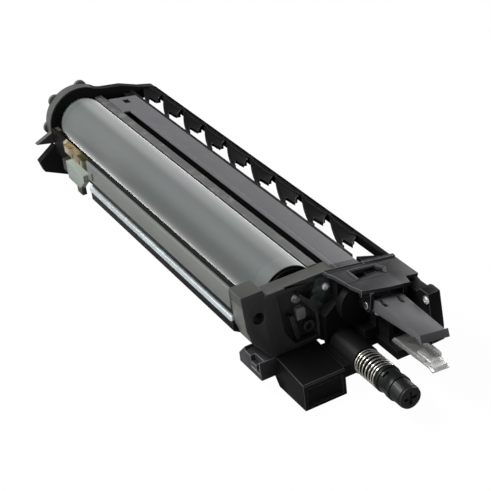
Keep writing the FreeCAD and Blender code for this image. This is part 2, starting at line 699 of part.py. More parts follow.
def auger_gear():
    line = math.atan2(float(AZ), float(AY))
    turn = line + math.pi + math.pi / float(S.auger_teeth)
    solid = gear_solid(S.auger_teeth, turn)
    solid.translate(Vec(float(gear_back), float(AY), float(AZ)))
    solid = solid.fuse(rod(gear_back + S.gear_width, gear_back + S.gear_width + 2, 5.0, AY, AZ))
    solid = solid.cut(rod(gear_back - 1, gear_back + S.gear_width + 3, S.auger_shaft, AY, AZ))
    for hole in range(5):
        angle = 2 * math.pi * hole / 5
        cut = rod(gear_back - 1, gear_back + S.gear_width + 3, 2.8,
                  float(AY) + 11.0 * math.cos(angle), float(AZ) + 11.0 * math.sin(angle))
        solid = solid.cut(cut)
    coded("auger_gear", solid)


def auger_screw():
    """Waste toner auger: one shaft, and a helical flight in four runs with a fine joint between them."""
    start, stop = float(rear_face) + 4, float(S.pipe_end) - 8
    turns = round(float(S.auger_turns))
    runs = 4
    length = (stop - start) / runs
    inner, outer = float(S.auger_shaft) - 0.5, float(S.auger_radius)
    joint = 0.4
    helix = Part.makeHelix(length * runs / turns, length - joint, (inner + outer) / 2)
    ribbon = Part.makePolygon([
        Vec(inner, 0, -0.6), Vec(outer, 0, -0.4), Vec(outer, 0, 0.4), Vec(inner, 0, 0.6), Vec(inner, 0, -0.6)])
    flight = Part.Wire(helix).makePipeShell([ribbon], True, True)
    flight.rotate(Vec(0, 0, 0), Y_AXIS, 90.0)
    shaft = rod(housing_back - 2.5, S.pipe_end - 5.2, S.auger_shaft, AY, AZ)
    copies = [flight.translated(Vec(start + n * length, float(AY), float(AZ))) for n in range(runs)]
    tip = rod(S.pipe_end - 5.2, S.pipe_end + 2.5, 1.5, AY, AZ)
    coded("auger_screw", shaft.multiFuse(copies + [tip]))


def waste_pipe():
    body = new_body("waste_pipe")
    end, outer = S.pipe_end, S.pipe_radius
    pad(body, "YZ", plate_back, end, rings=[(AY, AZ, outer), (AY, AZ, outer - S.pipe_wall)])
    pocket(body, "XY", AZ - outer - 1, AZ - 3.0, [block(end - 5, end - 0.6, AY - 4.0, AY + 4.0)])


def pipe_cap():
    """Cap of the outlet pipe: the front bearing of the auger, with a cross sunk in its face."""
    body = new_body("pipe_cap")
    end = S.sleeve_end
    arm, half = S.pipe_radius - 2.4, size(1.2)
    pad(body, "YZ", S.pipe_end, end - 1.8, rings=[(AY, AZ, S.pipe_radius)])
    pad(body, "YZ", end - 1.8, end, rings=[(AY, AZ, S.sleeve_radius - 0.8)])
    pocket(body, "YZ", S.pipe_end, S.pipe_end + 3.0, rings=[(AY, AZ, 1.5 + S.run_fit)])
    cross = [(AY - arm, AZ - half), (AY - half, AZ - half), (AY - half, AZ - arm), (AY + half, AZ - arm),
             (AY + half, AZ - half), (AY + arm, AZ - half), (AY + arm, AZ + half), (AY + half, AZ + half),
             (AY + half, AZ + arm), (AY - half, AZ + arm), (AY - half, AZ + half), (AY - arm, AZ + half)]
    pocket(body, "YZ", end - 1.5, end, [cross])


def shutter_sleeve():
    """Sliding sleeve that covers the outlet window of the pipe."""
    body = new_body("shutter_sleeve")
    start, end = S.spring_start + S.spring_length, S.sleeve_end - 1.8
    hole, wide = S.pipe_radius + S.run_fit, S.sleeve_radius
    pad(body, "YZ", start, start + 11, rings=[(AY, AZ, wide), (AY, AZ, hole)])
    pad(body, "YZ", start, start + 2.4, rings=[(AY, AZ, wide + 1.0), (AY, AZ, hole)])
    pad(body, "YZ", start + 11, start + 15, rings=[(AY, AZ, wide + 0.5), (AY, AZ, hole)])
    pad(body, "YZ", start + 15, end, rings=[(AY, AZ, wide - 0.4), (AY, AZ, hole)])
    pocket(body, "XY", AZ + 4.0, AZ + 12.0, [block(start + 4.5, start + 8.5, AY - 6.0, AY - 1.0)])


def shutter_spring():
    """Round wire coil between the outlet collar and the sleeve."""
    coil = doc.addObject("Part::Helix", "CoilLine")
    bind(coil, "Radius", S.sleeve_radius + 0.3)
    bind(coil, "Height", S.spring_length - 2 * S.spring_wire)
    bind(coil, "Pitch", (S.spring_length - 2 * S.spring_wire) / S.spring_turns)
    wire = doc.addObject("Part::RegularPolygon", "CoilWire")
    wire.Polygon = 4
    bind(wire, "Circumradius", S.spring_wire)
    wire.Placement = FreeCAD.Placement(Vec(0, 0, 0), FreeCAD.Rotation(X_AXIS, 90))
    bind(wire, "Placement.Base.x", S.sleeve_radius + 0.3)
    doc.recompute()
    sweep = doc.addObject("Part::Sweep", "shutter_spring")
    sweep.Label = "shutter_spring"
    sweep.Sections = [wire]
    sweep.Spine = (coil, ["Edge1"])
    sweep.Solid = True
    sweep.Frenet = True
    sweep.Placement = FreeCAD.Placement(Vec(0, 0, 0), FreeCAD.Rotation(Y_AXIS, 90))
    bind(sweep, "Placement.Base.x", S.origin_x + S.spring_start + S.spring_wire)
    bind(sweep, "Placement.Base.y", S.origin_y + AY)
    bind(sweep, "Placement.Base.z", S.origin_z + AZ)
    PIECES.append(sweep)


def charge_roller():
    core = new_body("charge_roller_core")
    pad(core, "YZ", rear_face + 1.0, plate_back - 1.0, rings=[(CY, CZ, S.charge_core)])
    cover = new_body("charge_roller_rubber")
    pad(cover, "YZ", rear_face + 12, plate_back - 14, rings=[(CY, CZ, S.charge_radius), (CY, CZ, S.charge_core)])
    for name, start, stop in (("charge_bearing_front", plate_back - 8, plate_back),
                              ("charge_bearing_rear", rear_face, rear_face + 8)):
        seat = new_body(name)
        pad(seat, "YZ", start, stop, [[
            (side_y + 12.2, floor_z + S.wall), (CY + 3.6, floor_z + S.wall), (CY + 5.4, CZ), (CY - 5.4, CZ, 5.4)]])
        pocket(seat, "YZ", start, stop, rings=[(CY, CZ, S.charge_core + S.run_fit)])


def blade_bracket():
    """Folded steel stay beside the drum that carries the cleaning blade."""
    body = new_body("blade_bracket")
    r, high = S.drum_radius, S.drum_radius * 0.81
    pad(body, "YZ", rear_face, plate_back, [[
        (r * 0.665, high), (r * 0.665, high + 1.5), (r * 0.98, high + 1.5), (r + 3.4, -4.0), (r + 1.9, -4.0),
        (r * 0.915, high)]])


def cleaning_blade():
    body = new_body("cleaning_blade")
    r = S.drum_radius
    pad(body, "YZ", rear_face + 6, plate_back - 6, [[
        (r - 0.05, -4.4), (r + 1.5, -12.0), (r + 3.4, -12.0), (r + 3.4, -4.0), (r + 1.9, -4.0)]])


def grip_lever():
    """Grip lever: flat top, two skirts, a stepped lip at its end and two long holes."""
    body = new_body("grip_lever", tilted=True)
    top, reach, pivot = -S.lever_drop, S.lever_reach, S.lever_pivot
    y0, y1 = lever_left(), lever_left() + S.lever_width + 2
    pad(body, "XY", top - 2.4, top, [[
        (pivot - 3, y0), (reach, y0 + 0.4), (reach, y1 - 3.0), (pivot + 4, y1), (pivot - 3, y1)]])
    skirt = [(pivot - 3, top), (pivot - 3, top - 7.4), (pivot + 4, top - 8.2), (reach - 8, top - 4.6),
             (reach, top - 2.4), (reach, top)]
    pad(body, "XZ", y0, y0 + 2, [skirt])
    pad(body, "XZ", y1 - 2, y1, [skirt[:2] + [(pivot + 4, top - 8.2), (pivot + 4, top)]])
    pad(body, "XZ", y0, y1 - 0.6, [[
        (reach - 3, top - 2.4), (reach - 0.4, top), (reach, top), (reach + 2.6, top - 4.6), (reach + 1.2, top - 5.4)]])
    pad(body, "XZ", y0, y1, [block(pivot - 3, pivot + 3, top - 8.0, top - 2.0)])
    holes = [block(pivot + 5.0, pivot + 11.0, y0 + side, y0 + side + 3) for side in (2.4, S.lever_width - 4.6)]
    pocket(body, "XY", top - 2.4, top, holes)
    pocket(body, "XZ", y0, y1, rings=[(pivot, top - 5, S.pin_radius + S.run_fit)])


def lever_pin():
    body = new_body("lever_pin", tilted=True)
    y0, y1 = lever_left() - 2.8, lever_left() + S.lever_width + 4.8
    pad(body, "XZ", y0, y1, rings=[(S.lever_pivot, -S.lever_drop - 5, S.pin_radius)])
    pad(body, "XZ", y0 - 1, y0, rings=[(S.lever_pivot, -S.lever_drop - 5, S.pin_radius + 1.0)])


def latch_tongue():
    """Bent metal tongue below the lever, with turned-up edges and a raised hook at its end."""
    body = new_body("latch_tongue")
    z, reach = S.tongue_z, S.tongue_reach
    y0 = cover_y + 20
    y1 = y0 + S.tongue_width
    pad(body, "XY", z, z + 1.2, [[
        (50.0, y0), (reach - 6, y0 + 1.0), (reach, y0 - 0.2), (reach + 1, y1 - 4.0), (reach - 8, y1 - 0.4), (50.0, y1)]])
    pad(body, "XY", z + 1.2, z + 3.4, [[
        (52.0, y0), (reach - 12, y0 + 0.8), (reach - 12, y0 + 2.2), (52.0, y0 + 1.4)]])
    pad(body, "XY", z + 1.2, z + 3.4, [block(52.0, reach - 12, y1 - 1.9, y1 - 0.5)])
    pad(body, "XY", z + 1.2, z + 2.0, [block(reach - 24, reach - 9, y0 + 5, y1 - 4)])
    pad(body, "XZ", y0 + 1.2, y1 - 4.6, [[
        (reach - 7, z + 1.2), (reach - 4, z + 3.6), (reach, z + 3.6), (reach, z + 1.2)]])


def ground_tab():
    """Plated earthing tab screwed to the front plate beside the round boss."""
    body = new_body("ground_tab")
    x, c = S.front_face, cover_y
    pad(body, "YZ", x, x + 1.2, [[
        (c - 14.1, 14.5), (c - 1.7, 14.5), (c - 2.1, 5.0), (c - 0.1, 5.0), (c - 0.1, -3.9), (c - 4, -4.0),
        (c - 13.8, -11.8), (c - 14.3, -4.2), (c - 18, 6.0)]])
    pocket(body, "YZ", x, x + 1.2, rings=[(*TAB_SCREW, S.screw_head / 2)])


def window_tab():
    body = new_body("window_tab")
    x = S.front_face - 6.5
    pad(body, "YZ", x, x + 5.0, [[
        (-3.4, -13.4), (2.2, -13.4), (3.2, -11.6), (3.2, -6.4), (2.0, -4.6), (-2.4, -4.6), (-3.4, -6.4)]])


def contacts():
    holder = new_body("contact_holder")
    wall, x = side_y, rear_face + 35
    pad(holder, "XZ", wall - 3.0, wall, [[
        (x + 2, -8.0), (x + 6, -19.8), (x + 36, -19.8), (x + 48, -12.0), (x + 52, 1.6), (x + 4, 1.6)]])
    pad(holder, "XZ", wall - 8.0, wall - 3.0, [[
        (x + 10, -24.0), (x + 34, -24.0), (x + 46, -14.0), (x + 46, -8.0), (x + 10, -8.0)]])
    pad(holder, "XZ", wall - 7.0, wall - 3.0, [block(x + 24, x + 34, -31.0, -24.0)])
    pad(holder, "XZ", wall - 8.0, wall - 3.0, [block(x + 2, x + 10, -19.0, -9.0)])
    metal = new_body("brass_contact")
    pad(metal, "XZ", wall - 4.0, wall - 3.0, [[
        (x, -5.0), (x + 46, -5.0), (x + 54, 5.0), (x + 52, 9.0), (x + 8, 9.5), (x, 4.0)]])
    pad(metal, "XZ", wall - 8.0, wall - 3.0, [block(x + 12, x + 22, 7.0, 8.0), block(x + 40, x + 51, 7.6, 8.6)])
    pocket(metal, "XZ", wall - 4.0, wall - 3.0, [block(x + 16, x + 22, -5.0, 0.0), block(x + 30, x + 36, -5.0, 0.0)])


def end_seals():
    for name, start in (("drum_seal_front", plate_back - 14), ("drum_seal_rear", rear_face)):
        body = new_body(name)
        pad(body, "YZ", start, start + 9, [[
            (side_y + 2.4, -6.0), (side_y + 7.4, -3.0), (side_y + 5.6, 2.0), (side_y + 2.4, 2.0)]])


def rear_foot():
    """Saddle under the auger trough near the rear, level with the front box."""
    body = new_body("rear_foot")
    start = rear_face + 10
    pad(body, "YZ", start, start + 30, [[
        (AY - 15, base_z), (AY + 15, base_z), (AY + 13, AZ), (AY - 13, AZ)]])
    pocket(body, "YZ", start, start + 30, rings=[(AY, AZ, trough_out)])
    pocket(body, "YZ", start + 3, start + 27, [block(AY - 11, AY + 11, base_z, base_z + 6)])


def screw_shape(length):
    """Pan head screw with a cross recess, its seat at zero and its thread going back along X."""
    wide, tall = float(S.screw_head), 1.8
    head = Part.makeCylinder(wide, tall, Vec(0, 0, 0), X_AXIS)
    head = head.makeChamfer(0.7, [e for e in head.Edges if abs(e.CenterOfMass.x - tall) < 1e-6])
    for turn in (45.0, 135.0):
        cross = Part.makeBox(1.2, 3.4, 0.8, Vec(1.0, -1.7, -0.4))
        cross.rotate(Vec(0, 0, 0), X_AXIS, turn)
        head = head.cut(cross)
    thread = Part.makeCylinder(wide / 2, length, Vec(-length, 0, 0), X_AXIS)
    return head.fuse(thread)


def screws(name, seats, way):
    """A group of equal screws, each set on its seat with the head pointing the given way."""
    shapes = []
    for seat in seats:
        shape = screw_shape(float(S.screw_length))
        shape.Placement = FreeCAD.Placement(Vec(*[float(size(n)) for n in seat]), FreeCAD.Rotation(X_AXIS, way))
        shapes.append(shape)
    coded(name, Part.makeCompound(shapes))


def screw_sets():
    screws("tab_screw", [(S.front_face + 1.2, *TAB_SCREW)], X_AXIS)
    screws("housing_screws", HOUSING_SCREWS, X_AXIS)
    screws("cheek_screws", [(x, cheek_y, z) for x, z in CHEEK_SCREWS], -Y_AXIS)


def make_all():
    for make in (main_frame, left_side_cover, side_rail, top_cover, guide_rail, front_plate, front_housing,
                 front_deck, right_cheek, front_box, corner_foot, rear_housing, rear_plate, drum_tube,
                 drum_front_flange, front_bushing, drum_shaft, drum_gear, auger_gear, auger_screw, waste_pipe,
                 pipe_cap, shutter_sleeve, shutter_spring, charge_roller, blade_bracket, cleaning_blade,
                 grip_lever, lever_pin, latch_tongue, ground_tab, window_tab, contacts, end_seals, rear_foot,
                 screw_sets):
        make()


def save():
    doc.recompute()
    bad = []
    for item in doc.Objects:
        if "Invalid" in item.State or "Error" in item.State:
            owner = item.getParentGeoFeatureGroup()
            bad.append("%s in %s" % (item.Label, owner.Label if owner else "no body"))
    if bad:
        raise RuntimeError("not valid: " + ", ".join(bad))
    for item in doc.Objects:
        if item.TypeId == "PartDesign::Body" or item in PIECES:
            shape = item.Shape
            if shape.isNull() or not shape.isValid():
                raise RuntimeError("%s has no valid shape" % item.Label)
            shape.exportStep("parts/%s.step" % item.Label)


make_all()
save()
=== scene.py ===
import json
import math

import bmesh
import bpy
from mathutils import Matrix, Vector


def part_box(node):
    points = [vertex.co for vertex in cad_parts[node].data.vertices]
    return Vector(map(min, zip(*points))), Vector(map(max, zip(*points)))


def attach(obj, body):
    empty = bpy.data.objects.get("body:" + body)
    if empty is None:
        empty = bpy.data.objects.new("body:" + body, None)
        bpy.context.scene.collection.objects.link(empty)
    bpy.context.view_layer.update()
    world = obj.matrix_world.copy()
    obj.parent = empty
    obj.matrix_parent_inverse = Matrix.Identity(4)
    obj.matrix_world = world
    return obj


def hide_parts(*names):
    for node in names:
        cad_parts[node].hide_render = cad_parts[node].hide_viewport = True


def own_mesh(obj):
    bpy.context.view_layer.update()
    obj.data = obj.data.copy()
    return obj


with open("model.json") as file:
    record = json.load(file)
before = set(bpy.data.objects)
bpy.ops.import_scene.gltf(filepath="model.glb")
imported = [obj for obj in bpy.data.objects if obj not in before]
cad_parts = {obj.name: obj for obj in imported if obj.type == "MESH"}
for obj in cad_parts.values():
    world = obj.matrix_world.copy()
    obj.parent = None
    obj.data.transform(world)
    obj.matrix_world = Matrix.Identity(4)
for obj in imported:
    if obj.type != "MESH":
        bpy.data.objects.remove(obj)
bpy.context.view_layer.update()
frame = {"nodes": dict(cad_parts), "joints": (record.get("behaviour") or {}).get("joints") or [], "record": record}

bl_info = {
    "name": "Printer drum unit",
    "version": (1, 0, 0),
    "blender": (4, 5, 0),
    "location": "View3D > Sidebar > Drum Unit",
    "description": "Dresses the frame of a printer drum unit with finished pieces, materials and a stage",
    "category": "Object",
}

MM = 0.001
BODY_OF = {node: body for body, group in frame["record"]["behaviour"]["bodies"].items() for node in group}
SLOT_OF = {part["node"]: part["material_slot"] for part in frame["record"]["subparts"]}

# Pieces whose finish differs a little from the rest of their slot, and the finishes whose rounded edges get a
# painted highlight.
FINISH_OF = {
    **SLOT_OF, "top_cover": "cover_plastic", "front_plate": "plate_plastic", "corner_foot": "foot_plastic",
    "front_deck": "deck_plastic", "rear_housing": "ring_plastic", "guide_rail": "rail_plastic"}
EDGE_HIGHLIGHT_OF = {
    "black_plastic": "black_painted_edge_highlight", "ring_plastic": "black_painted_edge_highlight", "rail_plastic": "black_painted_edge_highlight",
    "cap_plastic": "black_painted_edge_highlight", "sleeve_plastic": "black_painted_edge_highlight",
    "plate_plastic": "grey_painted_edge_highlight", "deck_plastic": "grey_painted_edge_highlight", "foot_plastic": "grey_painted_edge_highlight"}
BLACK = (0.0, 0.0, 0.0)

# The cover and the deck lie in one tilted plane; its origin is given from the centre of the drum's front rim.
DECK_ORIGIN = Vector((0.0, 26.0, 17.5)) * MM
DECK_TILT = math.radians(-9.0)
DECK_SLOPE = 0.158

# Outlines on the deck, as (x, y) in its own plane, in mm.
DECK_OPENING = [(25.6, 5.8), (25.6, 26.4), (31.0, 30.0), (37.2, 26.6), (33.8, 21.8), (37.8, 5.8)]
DECK_RIDGE = [(18.4, -8.4), (18.4, 20.4), (19.4, 20.4), (19.4, -8.4)]

# Seats of the screws in mm from the centre of the drum's front rim, and the way that each head points.
FRONT, LEFT = (1, 0, 0), (0, -1, 0)
SCREW_SEATS = {
    "tab_screw": [((17.2, 18.5, 6.4), FRONT)],
    "housing_screws": [((46.0, 39.5, -7.0), FRONT), ((38.0, 52.0, -3.0), FRONT)],
    "cheek_screws": [((69.0, 62.0, 4.4), LEFT), ((66.0, 62.0, -18.0), LEFT)],
}

# The camera of the photograph, fitted to the drum's rims, the side rail and the guide rail.
PHOTO_PIXELS, FOCAL_PIXELS, SENSOR = 491.0, 1400.0, 36.0
CAMERA_RIGHT = Vector((0.4847, 0.8681, -0.1067))
CAMERA_UP = Vector((-0.4, 0.3285, 0.8556))
CAMERA_PLACE = Vector((695.0, -359.9, 499.6)) * MM

# Each lamp's place, the point that it is aimed at, its width and height, and its power in watts.
LAMPS = {
    "Key": ((-0.35, -1.05, 1.65), (0.0, 0.0, 0.05), (1.2, 0.4), 52.0),
    "Left": ((0.10, -1.60, 0.55), (0.0, 0.0, 0.05), (1.8, 0.5), 8.0),
    "Rim": ((-0.35, 1.70, 0.42), (0.0, 0.0, 0.06), (2.0, 0.25), 30.0),
}

# How bright the floor is as paper, how white the camera sees it, and the light that the surroundings give.
PAPER_GREY, PAPER_GLOW, PAPER_WHITE = 0.38, 1.02, 0.96
SOFT_LIGHT, MIRRORED_WHITE = 0.055, 0.36


def corners(node):
    """Lowest and highest corner of a CAD node."""
    low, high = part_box(node)
    return Vector(low), Vector(high)


def middle(node):
    low, high = corners(node)
    return (low + high) / 2


def rim_centre():
    """Centre of the drum's front rim, from which places in the photograph are measured."""
    return Vector((corners("drum_tube")[1].x, middle("drum_tube").y, middle("drum_tube").z))


def add_node(tree, kind, settings=None, inputs=None, out=0):
    """Adds a node and gives one of its outputs; an input is a socket to link or a plain value."""
    node = tree.nodes.new(kind)
    for word, value in (settings or {}).items():
        setattr(node, word, value)
    for key, value in (inputs or {}).items():
        if isinstance(value, bpy.types.NodeSocket):
            tree.links.new(value, node.inputs[key])
        else:
            node.inputs[key].default_value = value
    return node.outputs[out]


# Shader maths


class Value:
    """A number or colour inside a material; arithmetic on it adds Math nodes."""

    def __init__(self, paint, socket):
        self.paint = paint
        self.socket = socket

    def math(self, operation, first, second):
        return self.paint.node("ShaderNodeMath", {"operation": operation}, {0: first, 1: second})

    def __add__(self, other):
        return self.math("ADD", self, other)

    def __sub__(self, other):
        return self.math("SUBTRACT", self, other)

    def __rsub__(self, other):
        return self.math("SUBTRACT", other, self)

    def __mul__(self, other):
        return self.math("MULTIPLY", self, other)

    __radd__ = __add__


class Paint:
    """A material under way: its Principled shader, and short ways to feed it."""

    def __init__(self, name, **constants):
        self.material = bpy.data.materials.new(name)
        self.material.use_nodes = True
        self.tree = self.material.node_tree
        self.shader = self.tree.nodes["Principled BSDF"]
        for word, value in constants.items():
            self.shader.inputs[word.replace("_", " ")].default_value = value
        self.place = self.node("ShaderNodeTexCoord", out="Object")

    def node(self, kind, settings=None, inputs=None, out=0):
        plain = {key: getattr(value, "socket", value) for key, value in (inputs or {}).items()}
        return Value(self, add_node(self.tree, kind, settings, plain, out))

    def feed(self, **links):
        for word, value in links.items():
            self.tree.links.new(value.socket, self.shader.inputs[word.replace("_", " ")])
        return self.material

    def axis(self, letter):
        return self.node("ShaderNodeSeparateXYZ", {}, {0: self.place}, out=letter)

    def noise(self, size, detail=2.0, stretch=(1.0, 1.0, 1.0), rough=0.5):
        """Noise whose features are about size metres across, stretched along the axes."""
        scale = tuple(1.0 / (size * s) for s in stretch)
        spot = self.node("ShaderNodeMapping", {"vector_type": "POINT"}, {
            "Vector": self.place, "Scale": scale})
        return self.node("ShaderNodeTexNoise", {}, {
            "Vector": spot, "Scale": 1.0, "Detail": detail, "Roughness": rough}, out="Fac")

    def past(self, value, start, full):
        """Nought below start, one above full, and smooth between them."""
        return self.node("ShaderNodeMapRange", {"interpolation_type": "SMOOTHSTEP"}, {
            "Value": value, "From Min": start, "From Max": full})

    def until(self, value, fading, gone):
        """One below fading, nought above gone, and smooth between them."""
        return 1.0 - self.past(value, fading, gone)

    def mix(self, factor, first, second):
        colours = {0: factor}
        for key, colour in ((6, first), (7, second)):
            colours[key] = colour if isinstance(colour, Value) else (*colour, 1.0)
        return self.node("ShaderNodeMix", {"data_type": "RGBA"}, colours, out=2)

    def bump(self, height, depth):
        return self.node("ShaderNodeBump", {}, {"Height": height, "Distance": depth, "Strength": 1.0})


def shade(colour, factor):
    return tuple(min(1.0, part * factor) for part in colour)


# Materials


def moulded(name, colour, roughness=0.5, grain=0.45 * MM, depth=0.03 * MM, level=0.22, dust=0.5, tint=None):
    """Injection moulded plastic: eroded grain, faint clouds, fine scuffs and settled dust."""
    cloud_size, scuff_size, powder_size = 28 * MM, 5 * MM, 13 * MM
    paint = Paint(name, Specular_IOR_Level=level)
    pits = paint.noise(grain)
    cloud = paint.noise(cloud_size, detail=3.0)
    scuff = paint.past(paint.noise(scuff_size, detail=7.0, stretch=(2.5, 1.0, 1.0), rough=0.72), 0.60, 0.74)
    powder = paint.past(paint.noise(powder_size, detail=8.0, rough=0.8), 0.52, 0.80) * dust
    base = paint.mix(cloud, shade(colour, 0.90), shade(colour, 1.12))
    base = paint.mix(powder * 0.22, base, shade(colour, 2.4))
    base = paint.mix(scuff * 0.20, base, shade(colour, 1.9))
    if tint:
        base = tint(paint, base)
    gloss = roughness + (cloud - 0.5) * 0.10 + powder * 0.12 - scuff * 0.10
    return paint.feed(Base_Color=base, Roughness=gloss, Normal=paint.bump(pits, depth))


def metal(name, colour, roughness, streak=(40.0, 1.0, 1.0), fine=0.12 * MM, stain=(0.5, 0.5, 0.5),
          dull=0.25, tint=None):
    """Drawn or rolled metal: streaks along its length and a little dullness."""
    cloud_size, streak_depth = 9 * MM, 0.006 * MM
    paint = Paint(name, Metallic=1.0)
    lines = paint.noise(fine, detail=3.0, stretch=streak)
    cloud = paint.noise(cloud_size, detail=5.0, rough=0.65)
    mark = paint.past(cloud, 0.50, 0.74)
    base = paint.mix(lines, shade(colour, 0.86), shade(colour, 1.10))
    base = paint.mix(mark * dull, base, stain)
    if tint:
        base = tint(paint, base)
    gloss = roughness + (lines - 0.5) * 0.16 + mark * 0.18
    return paint.feed(Base_Color=base, Roughness=gloss, Normal=paint.bump(lines, streak_depth))


def soft(name, colour, depth=0.10 * MM, roughness=0.9):
    """Rubber or felt: matt, with a fine pile or skin."""
    pile_size, cloud_size = 0.35 * MM, 7 * MM
    paint = Paint(name, Specular_IOR_Level=0.2)
    pile = paint.noise(pile_size, detail=4.0, rough=0.7)
    cloud = paint.noise(cloud_size, detail=3.0)
    base = paint.mix(pile, shade(colour, 0.65), shade(colour, 1.35))
    base = paint.mix(cloud * 0.35, base, shade(colour, 1.5))
    gloss = roughness - cloud * 0.12
    return paint.feed(Base_Color=base, Roughness=gloss, Normal=paint.bump(pile, depth))


def drum_coating(name, colour):
    """Photoconductor layer: a smooth skin with a bare band at each rim and very fine rings."""
    ring_size, haze_size, toner_size, ring_depth = 0.5 * MM, 34 * MM, 0.8 * MM, 0.002 * MM
    paint = Paint(name, Specular_IOR_Level=0.20, Coat_IOR=1.5, Coat_Roughness=0.22, Sheen_Weight=0.9,
                  Sheen_Roughness=0.42)
    front, rear = corners("drum_tube")[1].x, corners("rear_housing")[1].x
    along = paint.axis("X")
    near = paint.past(along, front - 14.4 * MM, front - 14.0 * MM)
    far = paint.until(along, rear + 4.0 * MM, rear + 4.4 * MM)
    bare = near + far
    step = paint.past(along, front - 14.9 * MM, front - 14.5 * MM) * (1.0 - near)
    step = step + paint.until(along, rear + 8.0 * MM, rear + 10.0 * MM) * (1.0 - far) * 0.6
    rings = paint.noise(ring_size, detail=3.0, stretch=(1.0, 90.0, 90.0))
    haze = paint.noise(haze_size, detail=4.0, stretch=(2.2, 1.0, 1.0), rough=0.6)
    toner = paint.past(paint.noise(toner_size, detail=6.0, stretch=(1.0, 2.0, 2.0), rough=0.7), 0.68, 0.82)
    skin = paint.mix(haze, shade(colour, 0.93), shade(colour, 1.07))
    skin = paint.mix(rings * 0.5, skin, shade(colour, 1.10))
    skin = paint.mix(toner * 0.12, skin, shade(colour, 0.4))
    skin = paint.mix(bare, skin, shade(colour, 1.16))
    skin = paint.mix(step * 0.6, skin, shade(colour, 0.62))
    gloss = 0.46 + (haze - 0.5) * 0.08 + (rings - 0.5) * 0.06 - bare * 0.10
    return paint.feed(Base_Color=skin, Roughness=gloss, Coat_Weight=0.22 - bare * 0.1,
                      Normal=paint.bump(rings, ring_depth))


# Tints: colours that one piece has in one place only


def under_plate(paint, start, full):
    """One under the tilted plate of the cover and the deck, where shade is painted; both depths are below its top.
    """
    low, high = corners("top_cover")
    level = paint.axis("Z") + (paint.axis("Y") - low.y) * DECK_SLOPE
    return paint.until(level, high.z - full, high.z - start)


def cover_painted_shade(paint, base):
    """Painted shade: black under the top cover's plate, and darker at its front end, where shade falls."""
    rim = rim_centre()
    under = under_plate(paint, 1.2 * MM, 1.6 * MM)
    front = paint.past(paint.axis("X"), rim.x + 11.6 * MM, rim.x + 12.0 * MM)
    # Painted shade at the front end of the cover.
    base = paint.mix(front * 0.7, base, BLACK)
    # Painted shade under the cover's plate.
    return paint.mix(under * 0.97, base, BLACK)


def deck_painted_shade_and_tone(paint, base):
    """Painted shade: black under the front deck's plate, and two dark lines across its top that stand for grooves;
    darker at its right.
    """
    rim, edge = rim_centre(), corners("top_cover")[0].y
    under = under_plate(paint, 2.9 * MM, 3.2 * MM)
    left = paint.until(paint.axis("Y"), edge + 30 * MM, edge + 31 * MM)
    # Painted shade: two dark lines for grooves.
    for start, share in ((21.4 * MM, 1.0), (39.4 * MM, left)):
        place = paint.axis("X") - rim.x - start
        groove = paint.past(place, 0.0, 0.25 * MM) * paint.until(place, 0.8 * MM, 1.1 * MM) * share
        base = paint.mix(groove * 0.85, base, BLACK)
    right = paint.past(paint.axis("Y"), edge + 32 * MM, edge + 36 * MM)
    base = paint.mix(right * 0.6, base, BLACK)
    # Painted shade under the deck's plate.
    return paint.mix(under * 0.85, base, BLACK)


def lever_painted_hole_shade(paint, base):
    """Painted shade: dark patches for the ends of the two long holes at the root of the lever."""
    edge, pin = corners("grip_lever")[0].y, middle("lever_pin").x
    along = paint.past(paint.axis("X"), pin + 9.0 * MM, pin + 9.4 * MM)
    along = along * paint.until(paint.axis("X"), pin + 14.0 * MM, pin + 14.6 * MM)
    for start in (2.4 * MM, 15.3 * MM):
        place = paint.axis("Y") - edge - start
        across = paint.past(place, 0.0, 0.4 * MM) * paint.until(place, 2.8 * MM, 3.2 * MM)
        # Painted shade where a hole shows.
        base = paint.mix(along * across * 0.97, base, BLACK)
    return base


def plate_painted_light(paint, base):
    """Painted light: the end plate is dark on its face only; its top and its left side are painted grey green in
    the tones that the light gives them.
    """
    top_lit_grey, side_lit_grey = (0.060, 0.061, 0.056), (0.126, 0.129, 0.117)
    low, high = corners("front_plate")
    drum = middle("drum_tube")
    behind = paint.until(paint.axis("X"), high.x - 1.6 * MM, high.x - 1.4 * MM)
    top = paint.past(paint.axis("Z"), drum.z + 12.6 * MM, drum.z + 12.8 * MM)
    side = paint.until(paint.axis("Y"), low.y + 4.6 * MM, low.y + 4.8 * MM) * (1.0 - top)
    # Painted light on the top and on the left side.
    base = paint.mix(behind * top * 0.9, base, top_lit_grey)
    return paint.mix(behind * side * 0.9, base, side_lit_grey)


def ring_painted_light(paint, base):
    """Painted light: the ring round the drum's rear end is painted grey like the end plate on its outer side, at
    its upper left only, where the light falls.
    """
    ring_lit_grey = (0.085, 0.088, 0.082)
    face, drum = corners("rear_housing")[1].x, middle("drum_tube")
    behind = paint.until(paint.axis("X"), face - 2.2 * MM, face - 1.8 * MM)
    left = paint.until(paint.axis("Y"), drum.y + 12 * MM, drum.y + 14 * MM)
    upper = paint.past(paint.axis("Z"), drum.z - 13 * MM, drum.z - 12 * MM)
    # Painted light on the upper left.
    return paint.mix(behind * left * upper, base, ring_lit_grey)


def holder_tint(paint, base):
    """The contact holder is pale in its middle only."""
    start_colour, foot_colour = (0.020, 0.020, 0.016), (0.045, 0.042, 0.022)
    low = corners("contact_holder")[0]
    start = paint.until(paint.axis("X"), low.x + 6 * MM, low.x + 10 * MM)
    foot = paint.until(paint.axis("Z"), low.z + 5 * MM, low.z + 8 * MM)
    base = paint.mix(start, base, start_colour)
    return paint.mix(foot, base, foot_colour)


